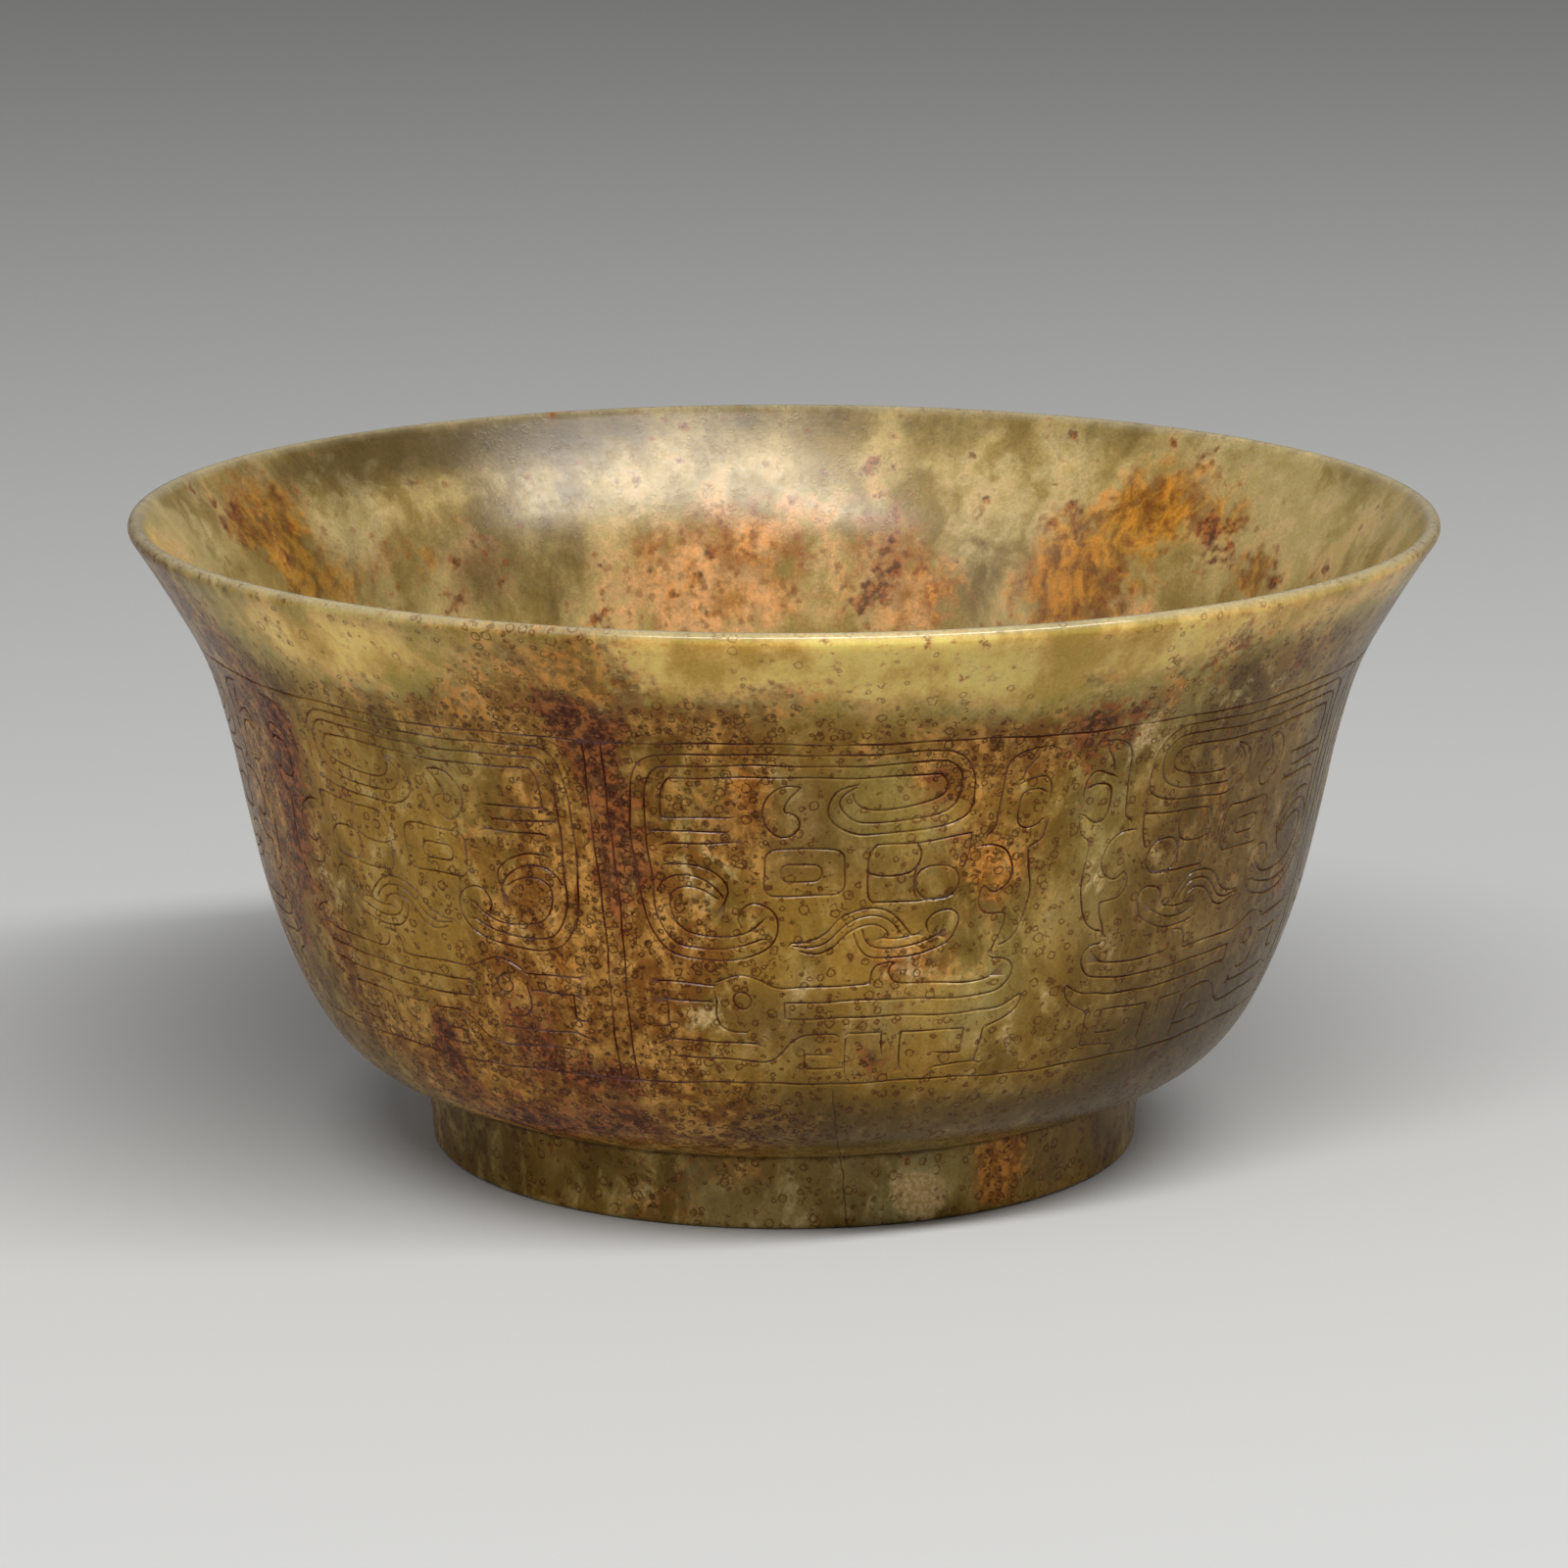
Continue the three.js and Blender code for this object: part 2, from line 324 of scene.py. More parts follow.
def points_round():
    """Points round the edge of half a panel, with rows where the ring lines cross it."""
    columns = np.linspace(0, HALF_PANEL, HALF_PANEL_COLUMNS + 1)
    rows = np.linspace(BAND_LOW, BAND_HIGH, BAND_ROWS)
    ring_rows = []
    for ring in (RING_LOW, RING_HIGH):
        rows = rows[abs(rows - ring) > RING_CLEARANCE]
        ring_rows += [ring + side for side in (0, *GROOVE_SIDES)]
    rows = np.unique(np.r_[rows, ring_rows])
    return np.vstack([
        np.column_stack([columns, np.full(len(columns), BAND_LOW)]),
        np.column_stack([columns, np.full(len(columns), BAND_HIGH)]),
        np.column_stack([np.zeros(len(rows) - 2), rows[1:-1]]),
        np.column_stack([np.full(len(rows) - 2, HALF_PANEL), rows[1:-1]]),
    ])


def points_beside(lines):
    """Rows of points on both sides of every line, at the edges of its groove and just outside them."""
    sides = []
    for line in lines:
        along = np.gradient(line, axis=0)
        along /= np.linalg.norm(along, axis=1)[:, None]
        across = np.column_stack([-along[:, 1], along[:, 0]])
        sides += [line + across * offset for offset in GROOVE_SIDES]
    sides = np.vstack(sides)
    low = np.array([0, BAND_LOW]) + BORDER_CLEARANCE
    high = np.array([HALF_PANEL, BAND_HIGH]) - BORDER_CLEARANCE
    sides = sides[((sides > low) & (sides < high)).all(1)]
    return sides[distance_to(sides, lines) > GROOVE_HALF_WIDTH - SIDE_TOLERANCE]


def points_between(lines):
    """Points spread evenly over the plain stone between the lines."""
    grid = np.array([(x + (FIELD_STEP / 2 if row % 2 else 0), z)
                     for row, z in enumerate(np.arange(*FIELD_HEIGHTS, FIELD_ROW_STEP))
                     for x in np.arange(*FIELD_PLACES, FIELD_STEP)])
    return grid[distance_to(grid, lines) > FIELD_CLEARANCE]


def half_panel():
    """Half a panel as a flat mesh whose points are close together at the engraved lines."""
    lines = mask_lines()
    border = points_round()
    edges = []
    count = len(border)
    for line in lines:
        edges += [(count + i, count + i + 1) for i in range(len(line) - 1)]
        count += len(line)
    points = np.vstack([border, *lines, points_beside(lines), points_between(lines)])
    made, _, faces, *_ = delaunay_2d_cdt([Vector(p) for p in points], edges, [], 0, TOUCHING)
    flat = np.array([tuple(p) for p in made])
    return flat, np.array([f for f in faces if len(f) == 3]), distance_to(flat, lines)


def turned(profile, tip, columns):
    """Rows of points round the axis, joined by faces and closed at the tip."""
    angles = FIRST_DIVIDER + np.linspace(0, 2 * math.pi, columns, endpoint=False)
    rows = len(profile)
    radius, height = (np.repeat(side, columns) for side in profile.T)
    points = np.column_stack([radius, np.tile(angles, rows), height])
    points = np.vstack([points, (0, 0, tip[1])])
    i, j = np.meshgrid(np.arange(rows - 1), np.arange(columns), indexing="ij")
    a = i * columns + j
    b = i * columns + (j + 1) % columns
    quads = np.stack([a, b, b + columns, a + columns], -1).reshape(-1, 4)
    last = (rows - 1) * columns + np.arange(columns)
    fan = np.column_stack([last, np.roll(last, -1), np.full(columns, rows * columns)])
    return points, quads, fan


def waves(angle, height, parts):
    """A sum of waves. Each has a size, a number of turns round the bowl, a lean and a start."""
    return sum(size * np.sin(turns * angle + lean * height + start) for size, turns, lean, start in parts)


def wander(angle, height):
    """How far the hand strayed from the drawn lines: sideways and upward."""
    fade = np.clip(np.minimum(height - BAND_LOW, BAND_HIGH - height) / BAND_EDGE_FADE, 0, 1)
    return waves(angle, height, STRAYED_SIDEWAYS) * fade, waves(angle, height, STRAYED_UPWARD) * fade


def cut_depth(angle, height):
    """How deep the line is cut, since the hand didn't press evenly."""
    return 1 + waves(angle, height, PRESSED)


def engraved_band():
    flat, triangles, gap = half_panel()
    points, faces, grooves, centres = [], [], [], []
    count = 0
    for panel in range(PANELS):
        for mirrored in (False, True):
            start = FIRST_DIVIDER + (panel + mirrored) * 2 * math.pi / PANELS
            angle = start + (-1 if mirrored else 1) * flat[:, 0] / BAND_RADIUS
            height = flat[:, 1]
            groove = np.clip(1 - gap / GROOVE_HALF_WIDTH, 0, 1)
            depth = GROOVE_DEPTH * groove * cut_depth(angle, height)
            sideways, upward = wander(angle, height)
            angle, height = angle + sideways / BAND_RADIUS, height + upward
            radius, up = wall_at(height, depth)
            points.append(np.column_stack([radius, angle, up]))
            dirt = 1 + DIRT_BY_DEPTH * (cut_depth(angle, height) - 1)
            grooves.append(DIRT * groove * np.clip(dirt, 0, MOST_DIRT))
            centres.append(gap < ON_LINE)
            faces.append((triangles[:, ::-1] if mirrored else triangles) + count)
            count += len(flat)
    return np.vstack(points), np.vstack(faces), np.concatenate(grooves), np.concatenate(centres)


# Stains in the stone that the picture shows: distance round the wall, height, half width, half height
# and strength. The distance is at the band's radius, and grows to the right from the front outside and
# from the back inside
# Two kinds are not stains: "glow" is painted light, a pale yellow where light comes through the thin
# stone (it also raises the real subsurface scattering there), and "dark" is painted shade
OUTSIDE_STAINS = {
    "russet": """
-9,63.5,5,2.5,.6 -21,45,6,22,.8 -30,42,5,20,.5 -28,31,8,8,.8 -22,22,10,6,.8 -10,46,6,12,.55
-4,55,3.5,7,.6 -12,37,5,4,.4 -60,30,4,5,.6 -13,28,4,6,.6 -24,67,8,4,.5 -14,64,7,3,.35
-19,70.5,3,3,.6 8,61,9,3,.45 24,59,8,4.5,.75 31,61,6,3,.4 16,56,4,3,.5 22,47,5,6,.7 14,35.5,4,3,.6
19,35,5,3,.3 -40,26,8,4,.6 -46,18,9,6,1 -30,15,14,4,1 -10,14,9,4,.9 0,16,6,3,.5 -66,50,7,11,.9
-72,68,6,4,.5 -76,42,6,10,.4 50,48,5,4,.35 47,69,5,3,.4 62,67,10,5,.35 40,64,3,3,.5 72,37,4,4,.6
-48,63,12,2.5,.32 -38,61,8,2,.4 39,5,5,4,.9 -22,3.5,6,3,.7 -6,7,5,3,.5
-30,63.5,6,2.5,.5 1,66,5,2,.5 -60,22,6,6,.5 -70,58,5,5,.5 56,15,8,4,.5
""",
    "purple": """
-23,65,4,2.5,.7 -19.5,62,3.5,3,1 -12,63,4,1.5,.3 -19,57,2.2,4,.8 -18,51,2.5,6,.9 -17.5,43,2,5,.6
-15.5,47,2,3,.5 -5,43,2,2,.5 16,57,2.5,1.2,.7 -44,24,2.5,3,.8 -45,20,2.5,4,.95 -30,25,4,6,.9
-22,21,6,2,.8 -21,15,8,3,.8 -63,55,3.5,6,1.1 -66,40,2.5,5,.8 -70,32,3,6,.7 -76,50,5,10,.3
-65,48,3,6,.8 -70,61,4,4,.5 32,59,4,4,.6 30,62,5,2,.3 47,67,6,3,.35
10.5,23,2.5,2,.6 -29,5.5,9,2.5,.35 -36,13,8,3,1
""",
    "pale": """
35,43,1.6,2.2,.9 38,59,2.5,4,.7 51,63,2.5,2,.7 57,62.5,2,1.5,.4 -9,29.5,3,2.5,.6 -9,46,3,4,.5
-29,39,3,6,.4 -28,58,3,3,.4 -60,38,4,4,.4 13,34.5,3,2,.7 -52,46,5,6,.2 60,43,3,5,.25
74,39,3,5,.6 28,28,6,5,.25 22,3,5,3.5,1.3 -22,3.5,5,2.5,.4 2,4,9,5,.25 -3,58,2,3,.4
""",
    "grey": """
3,52,8,7,.8 12,44,5,5,.4 8,28,10,6,.4 55,46,16,18,.9 38,36,8,10,.6 60,26,14,8,.6 -2,29,6,4,.5
10,15,12,4,.6 4,4,32,6,.9 50,5,10,6,.3 28,13,26,5,.7 -82,60,8,14,.6
""",
    # Painted light: a pale yellow glow where light comes through the thin stone, mostly just under the
    # lip
    "glow": """
12,70,22,5,1.1 -10,70,12,3.5,.7 -44,68.5,14,5,1.05 32,70,8,4,.6 -62,70,6,4,.4 48,71,10,3,.6
68,71,14,3.5,.7 22,33,10,9,.36 12,52,7,5,.4 35,48,5,10,.3 -7,52.5,4,3,.3 -34,56,8,5,.28
24,64.5,5,3,.4 42,63,5,5,.35 -3,4,36,7,.3 22,4,4,3.5,.35 30,5,4,4,.3 -17,67,8,3,.35 9,57,4,3,.3
""",
    "orange": """
-4,56,2.2,6,.5 22,46,3,4,.6 -20,71,2,2,.7 13.5,35,3,2,.5 40,64,1.5,2,.6 72,36,3,2.5,.8
39,5,5,4,1.3 -2,9,6,2,.4 -8.5,46,3,4,.35 -25,33,3,5,.4 -34,14,8,3,.4
""",
    "honey": """
-18,67,6,3,.5 30,67,4,2,.5 -34,63,6,2,.4 12,38,5,3,.3 -40,16,10,4,.4 44,66,6,2,.5 -6,21,8,3,.3
-10,16,5,3,.5 -33,13,7,4,.6
""",
    # Painted shade: darker patches on the lower body, the foot and the far sides turned from the light
    "dark": """
60,20,22,9,1 8,13,26,5,.65 78,45,10,16,.6 66,4,9,6,.6 -70,30,12,10,.25 52,14,12,4,.9
2,20,6,4,.5 -62,5,8,6,.6 76,36,8,10,.35 77,60,5,8,.5
-84,45,8,14,.4 -62,22,10,6,.25
""",
}
INSIDE_STAINS = {
    "russet": """
-75,69,3,3,.8 -68,67,5,6,.7 -54,61,6,4,.5 -39,58,4,4,.8 -12,56,9,6,.8 -2,59,6,4,.7 -8,51,10,4,.7
13,57,5,7,.9 18,51,5,4,.6 35,58,5,6,.8 42,53,8,4,.8 46,66,5,4,.9 55,67,5,4,.9 64,63,5,4,.5
79,63,2,2,.5
""",
    "purple": """
-75,69,2,2,.8 -70,63,3,3,.3 14,59,3.5,6,.65 11,52,3,3,.5 -9,57,2,2,.4 57,63,4,5,.5
""",
    "orange": """
-66,65,4,5,.6 -4,58,6,4,.4 -14,53,5,4,.3 20,53,4,4,.6 36,56,5,6,1 46,65,5,3,.9 56,68,4,3,.7
66,61,3,2,.5
""",
    "pale": """
4,55,3,4,.4 -18,61,5,5,.4 -30,63,5,8,.2 25,61,4,8,.15 -50,69,5,4,.4 -90,68,8,6,.9 -99,70,8,4,.9
58,70,10,5,1 72,67,7,5,1 90,70,9,3,.8 62,66,6,6,.9 30,63,9,8,.8 -58,66,5,6,.6 0,66,24,4,.35
-55,64,3,3,.6 -61,60,2.5,4,.5 -35,66,3,3,.4
""",
    # The last two grey stains, a band just under the lip at the back, are painted shade
    "grey": """
-28,61,6,12,.5 -85,69,6,4,.15 25,58,5,8,.6 -48,66,9,8,.3 0,73,70,2.2,.4 -40,72,30,2.5,.4
""",
    # Painted light coming through the thin lip, on the inside
    "glow": """
90,71,14,3,.3 73,66,8,5,.3
""",
    "honey": """
-69,62,4.5,7,1.1 -69,67,4,3,.7 -76,67,3,3,.8 -61,58,4,4,.6 -48,60,4,3,.4 38,55,7,7,1.1 47,65,6,5,1
58,66,4,4,.6 66,60,5,4,.6
""",
    # Painted shade: a band just under the lip at the back and darker patches on the left of the inner
    # wall
    "dark": """
-66,62,6,9,.45 -46,58,16,8,.55 -34,57,7,7,.4 -80,66,8,5,.3 0,72.5,80,2.5,.5 -45,71,18,3,.8
""",
}
# The sides that the picture doesn't show have stains of the same kinds, placed by a seeded draw:
# how many in the hidden area, and the least and greatest half width
# Hidden "glow" is painted light under the lip, and hidden "dark" patches are painted shade of the same
# kind
HIDDEN_STAINS = {
    "russet": (24, 4, 13), "purple": (14, 2.5, 6), "pale": (22, 2, 6), "grey": (14, 7, 18),
    "glow": (16, 8, 18), "orange": (10, 2, 5), "honey": (10, 3, 8), "dark": (8, 8, 20),
}
HIDDEN_AREA = 15000  # square millimetres of wall with that many
SEEN_OUTSIDE, SEEN_INSIDE = 84, 100  # the picture shows the wall this far round to each side
HIDDEN_INSIDE = (16, 40)  # heights inside that the front rim hides
# A hidden glow is painted light through the thin lip, so it stays near the top
LIP_GLOW = (67, 71, 4)  # lowest and highest middle of a hidden glow, and its half height
STAIN_TOP, STAIN_FOOT, STAIN_FLOOR = 70, 4, 18  # highest middle, and lowest outside and inside
FLATTER = 0.8  # how tall hidden stains are for their width, on average, and how much smaller on the floor
STAIN_FALL, FULL_STAIN = 0.8, 1.2
WALL_STRENGTHS, FLOOR_STRENGTHS = (0.4, 1), (0.3, 0.9)
FIRST_SEED = 100
FLOOR_STAINS = 15  # on the floor and underside, besides a third of the hidden ones
FLOOR_REACH = 45
FLOOR_EDGE, FLOOR_EDGE_WIDTH = 26, 12  # radius where the wall's stains begin, and how gradually
ROUND = 2 * math.pi * BAND_RADIUS

# The stone, in millimetres
DRAWN_OUT = 0.6
# What moves a texture or mark about: scale, reach and detail
WARP, FLOW, RUFFLE = (0.13, 7.0, 3), (0.2, 5.0, 4), (1.9, 0.55, 2)
FRECKLE_STRAY, LINE_STRAY = (0.8, 1.2, 2), (0.5, 0.7, 3)
# Textures: the place each is laid on, then its scale, detail and roughness
TEXTURES = {
    "broad": ("warped", 0.045, 5, 0.55),
    "cloud": ("upright", 0.13, 8, 0.66),
    "streak": ("flowing", 0.17, 5, 0.56),
    "mottle": ("warped", 0.36, 6, 0.64),
    "blotch": ("still", 0.8, 5, 0.62),
    "fine": ("still", 1.9, 4, 0.65),
    "calm": ("still", 0.45, 2, 0.5),
    "worm": ("ruffled", 1.1, 1, 0.5),
    "crowd": ("still", 0.55, 4, 0.75),
    "dirt": ("still", 0.3, 3, 0.6),
    "grain": ("still", 3.0, 2, 0.6),
}
CALM_SHARE, BLOTCH_SHARE = 0.5, 0.45
LIGHT_CLOUDS, DARK_CLOUDS, RED_CLOUDS = (0.46, 0.64), (0.5, 0.36), (0.52, 0.38)
# Ragged edges of the stains: the texture that breaks each up and how much, where it begins and is full
EDGES = {
    "russet": ("coarse", 3.4, 0.12, 0.8),
    "grey": ("cloud", 1.6, 0.1, 0.8),
    "purple": ("coarse", 4.0, 0.35, 0.75),
    "pale": ("calmer mottle", 3.0, 0.3, 0.85),
    "orange": ("coarse", 2.4, 0.25, 0.7),
    "glow": ("cloud", 0.6, 0.0, 1.0),
    "honey": ("coarse", 2.6, 0.2, 0.8),
    "dark": ("cloud", 1.2, 0.0, 1.0),
}

# Marks in the stone. Those inside and in the glow are fewer
FEWER_MARKS_INSIDE, FEWER_MARKS_IN_GLOW = 0.85, 0.45
PORES = [(1.0, 0.24), (1.7, 0.55)]  # size of the cells that hold one each, and how many are filled
PORE_RADIUS, PORE_RADIUS_VARIES = 0.2, 0.14  # as shares of the cell
PORE_WALL, RING_GAPS = (0.13, 0.05), (0.28, 0.42)
MORE_PORES_IN_STAINS, FEWER_PORES_IN_GLOW = 0.36, 0.8
FLECK_MIDDLE, FLECK_WIDTH, FLECK_CROWD = 0.5, (0.05, 0.02), (0.54, 0.62)
MORE_FLECKS_IN_STAINS = 0.07
FRECKLE_SIZE, FRECKLE_EDGE = 1.8, (0.42, 0.12)
FRECKLES, MORE_FRECKLES_IN_STAINS = 0.07, 0.65
# Painted shade: a dark line in the crease where the body meets the foot
FOOT_SHADE_HEIGHT, FOOT_SHADE_WIDTH = FOOT_HEIGHT + 0.35, (0.5, 0.1)
CRACK_PLACE, CRACK_LEAN, CRACK_WIDTH = 7.4, 0.09, (0.13, 0.04)
CRACK_TOP, CRACK_FADE = 21.5, 2
LEAST_DIRT, DIRT_VARIES, DIRT_UNEVEN = 0.12, 0.7, (0.35, 0.7)
MORE_DIRT_IN_STAINS = 0.4

# Colours that follow a texture: which one, from where to where in it, and the colour at each end
TONES = {
    "ground": ("broad", 0.38, 0.62, "75561a", "aa8032"),
    "inside": ("streak", 0.36, 0.64, "988045", "c9b172"),
    "grey": ("mottle", 0.4, 0.62, "604a24", "7c6038"),
    # The glow's colours are painted light, paler and yellower than the stone
    "glow": ("cloud", 0.35, 0.65, "cdb458", "f2e296"),
    "russet": ("mottle", 0.4, 0.62, "8e521a", "daa250"),
    "russet inside": ("streak", 0.38, 0.62, "b66c36", "eabf88"),
    "orange": ("blotch", 0.4, 0.62, "a05818", "d8963e"),
    "pale": ("calmer fine", 0.4, 0.62, "c2a462", "dfca96"),
    "honey": ("mottle", 0.38, 0.6, "744606", "c88a24"),
    "purple": ("blotch", 0.42, 0.62, "42101a", "a85e30"),
    "grain": ("grain", 0.3, 0.7, "6a6a6a", "969696"),
}
PLAIN_COLOURS = {
    "light clouds": "ccac60",
    "dark clouds": "4e3a10",
    # The rim's pale band on top of the lip is partly a paler worn edge and partly a painted highlight
    "rim": "b6ae92",
    "red clouds": "642608",
    "pale inside": "bdab72",
    # Colour of the painted shade patches
    "dark": "483a18",
    "flecks": "401603",
    "rings": "5c2c08",
    # Pores in the painted glow are lighter, as part of the same painted light
    "rings in glow": "8a4a10",
    "rings in stains": "3c1202",
    "freckles": "84421c",
    # Colour of the painted shade in the crease above the foot
    "foot crease shade": "38220a",
    "crack": "3c240c",
    "dirt": "642406",
}
RED_CLOUD_SHARE, SOFTER_INSIDE, GRAIN_SHARE = 0.6, 0.6, 0.5
# Layers of colour from the lowest to the highest, and how much each hides of those under it. The glow and
# the dark patches are painted light and shade, the foot crease line is painted shade, and the rim's pale
# band is partly a painted highlight
LAYERS = {
    "light clouds": 0.44, "dark clouds": 0.34, "inside": 0.85, "grey": 0.65, "glow": 0.92, "rim": 0.65,
    "russet": 0.72, "orange": 0.75, "pale": 0.75, "honey": 0.8, "purple": 0.75, "dark": 0.75,
    "flecks": 0.7, "rings": 0.72, "freckles": 0.52, "foot crease shade": 0.6, "crack": 0.7, "dirt": 1.0,
}

# Shine, light inside the stone, and relief
OUTSIDE_SHINE, MORE_INSIDE, MORE_IN_GROOVES, MORE_ON_RIM = 0.09, 0.2, 0.35, 0.35
ROUGHNESS, ROUGHNESS_VARIES, RIM_SMOOTHER = 0.16, 0.2, 0.12
REFRACTION = 1.5
SEE_INTO, SEE_INTO_GLOW = 0.2, 0.5
SEE_DEPTH, SEE_DEPTH_GLOW = 1.5, 4
SEE_DEPTH_BY_COLOUR = (1.0, 0.7, 0.3)
RELIEF_DEPTH, RELIEF_STRENGTH = 0.08, 0.4
PORE_RELIEF, FLECK_RELIEF, FINE_RELIEF = -1.0, -0.6, 0.35


def read_stains(text):
    return np.array([[float(v) for v in one.split(",")] for one in text.split()])


def hidden_stains(draw, kind, seen, low, high):
    """Stains on the side of the wall that the picture doesn't show, with painted glow and painted shade
    of the same kinds there too.
    """
    number, small, large = HIDDEN_STAINS[kind]
    count = round(number * (ROUND - 2 * seen) * (high - low) / HIDDEN_AREA)
    if kind == "glow":
        low, high, glow_half_height = LIP_GLOW
    place = draw.uniform(seen, ROUND - seen, count)
    height = draw.uniform(low, high, count)
    wide = draw.uniform(small, large, count)
    tall = draw.uniform(small, large, count) * FLATTER
    if kind == "glow":
        tall[:] = glow_half_height
    return np.column_stack([place, height, wide, tall, draw.uniform(*WALL_STRENGTHS, count)])


def stain_field(place, height, stains):
    """How strongly the stains reach each point of the wall, from 0 to a full stain."""
    field = np.zeros(len(place))
    for middle, level, wide, tall, strength in stains:
        across = (place - middle + ROUND / 2) % ROUND - ROUND / 2
        field += strength * np.exp(-STAIN_FALL * ((across / wide) ** 2 + ((height - level) / tall) ** 2))
    return np.clip(field, 0, FULL_STAIN)


def floor_field(draw, kind, points):
    """How strongly seeded stains reach each point of the floor and underside, 0 to 1."""
    number, small, large = HIDDEN_STAINS[kind]
    corner = (FLOOR_REACH, FLOOR_REACH)
    spots = draw.uniform((-FLOOR_REACH, -FLOOR_REACH), corner, (FLOOR_STAINS + number // 3, 2))
    field = np.zeros(len(points))
    for spot in spots:
        size = draw.uniform(small, large) * FLATTER
        gap2 = ((points[:, :2] - spot) ** 2).sum(1)
        field += draw.uniform(*FLOOR_STRENGTHS) * np.exp(-gap2 / size ** 2)
    return np.clip(field, 0, 1)


def stain_fields(points, radius, angle, height, inside):
    """Each kind of stain, and the painted glow and painted shade, as one value per point: outside wall,
    inside wall and floor.
    """
    fields = {}
    on_wall = np.clip((radius - FLOOR_EDGE) / FLOOR_EDGE_WIDTH, 0, 1)
    for number, kind in enumerate(OUTSIDE_STAINS):
        draw = np.random.default_rng(FIRST_SEED + number)
        outer = np.vstack([read_stains(OUTSIDE_STAINS[kind]),
                           hidden_stains(draw, kind, SEEN_OUTSIDE, STAIN_FOOT, STAIN_TOP)])
        inner = np.vstack([read_stains(INSIDE_STAINS[kind]),
                           hidden_stains(draw, kind, SEEN_INSIDE, STAIN_FLOOR, STAIN_TOP)])
        if kind != "glow":
            inner = np.vstack([inner, hidden_stains(draw, kind, 0, *HIDDEN_INSIDE)])
        outside_value = stain_field(angle * BAND_RADIUS, height, outer)
        inside_value = stain_field((math.pi - angle) * BAND_RADIUS, height, inner)
        wall_value = inside_value * inside + outside_value * (1 - inside)
        floor_value = floor_field(draw, kind, points) * (kind != "glow")
        fields[kind] = np.clip(wall_value * on_wall + floor_value * (1 - on_wall), 0, FULL_STAIN)
    return fields


def weld(mesh):
    """Joins the band to the rest and smooths the mesh, but for the faces in the grooves."""
    whole = bmesh.new()
    whole.from_mesh(mesh)
    bmesh.ops.remove_doubles(whole, verts=whole.verts, dist=WELD * MM)
    bmesh.ops.recalc_face_normals(whole, faces=whole.faces)
    centre = whole.verts.layers.float["centre"]
    for face in whole.faces:
        face.smooth = not any(vert[centre] > 0.5 for vert in face.verts)
    whole.to_mesh(mesh)
    whole.free()


def bowl_mesh():
    """The whole bowl as one mesh, with a value for every stain, painted glow and shade, and mark at each
    point.
    """
    columns = 2 * PANELS * HALF_PANEL_COLUMNS
    band, band_faces, grooves, centres = engraved_band()
    rising, tip = profile_up()
    up, *up_faces = turned(rising, tip, columns)
    down, *down_faces = turned(*profile_down(), columns)
    radius, angle, height = np.vstack([band, up, down]).T
    first_up, first_down = len(band), len(band) + len(up)
    points = np.column_stack([radius * np.sin(angle), -radius * np.cos(angle), height])
    faces = band_faces.tolist()
    for part in up_faces:
        faces += (part + first_up).tolist()
    for part in down_faces:
        faces += (part[:, ::-1] + first_down).tolist()
    mesh = bpy.data.meshes.new("jade_bowl")
    mesh.from_pydata((points * MM).tolist(), [], faces)
    inward = np.clip((np.arange(len(rising)) - OUTSIDE_ROWS) / LIP_ROWS, 0, 1)
    inside = np.zeros(len(points))
    inside[first_up:first_down] = np.r_[np.repeat(inward, columns), 1]
    ungrooved = np.zeros(len(up) + len(down))
    values = stain_fields(points, radius, angle, height, inside)
    values["groove"] = np.r_[grooves, ungrooved]
    values["inside"] = inside
    values["rim"] = np.clip((height - HEIGHT + lip_round) / lip_round, 0, 1)
    values["centre"] = np.r_[centres, ungrooved]
    for name, value in values.items():
        mesh.attributes.new(name, "FLOAT", "POINT").data.foreach_set("value", value.astype(np.float32))
    weld(mesh)
    return mesh


def colour(code):
    """A colour written as six hex digits, as the renderer wants it."""
    parts = [int(code[i:i + 2], 16) / 255 for i in (0, 2, 4)]
    return (*(p / 12.92 if p <= 0.04045 else ((p + 0.055) / 1.055) ** 2.4 for p in parts), 1.0)


